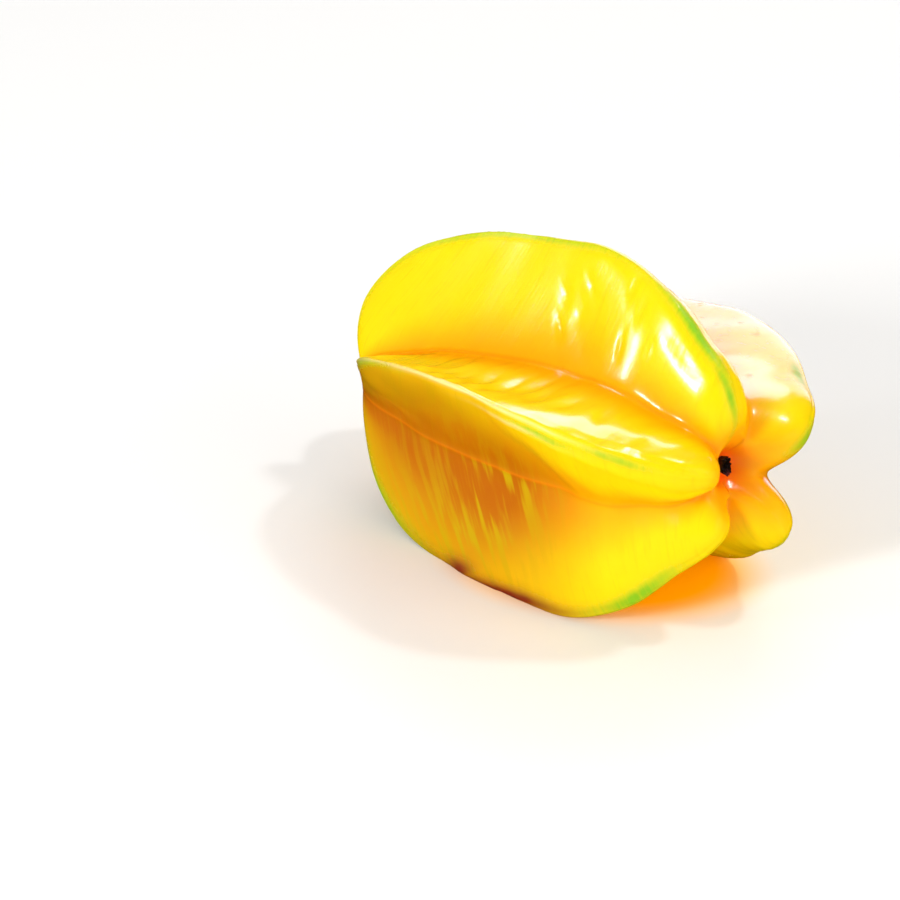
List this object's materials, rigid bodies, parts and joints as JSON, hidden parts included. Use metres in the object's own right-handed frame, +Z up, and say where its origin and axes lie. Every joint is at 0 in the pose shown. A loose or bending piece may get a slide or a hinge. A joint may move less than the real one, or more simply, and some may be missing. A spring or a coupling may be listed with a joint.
{
  "type": "star fruit",
  "caption": "Whole ripe star fruit with waxy winged ribs round a star-shaped core and a dried stem stub in its pit, lying on its side.",
  "frame": {"origin": "centre of the bounding box in plan, on the surface that the fruit lies on", "axes": "+X along the fruit towards its stem end, +Z up, -Y towards the side where a rib lies between the upper and the lower ones"},
  "size_m": [0.1008, 0.0676, 0.0638],
  "materials": {
    "waxy_skin": "thin waxy fruit skin, glossy over fine ripples",
    "dried_stem": "dry, dark and rough"
  },
  "bodies": {
    "root": {"fruit_body": "waxy_skin", "stem_remnant": "dried_stem"}
  },
  "joints": []
}
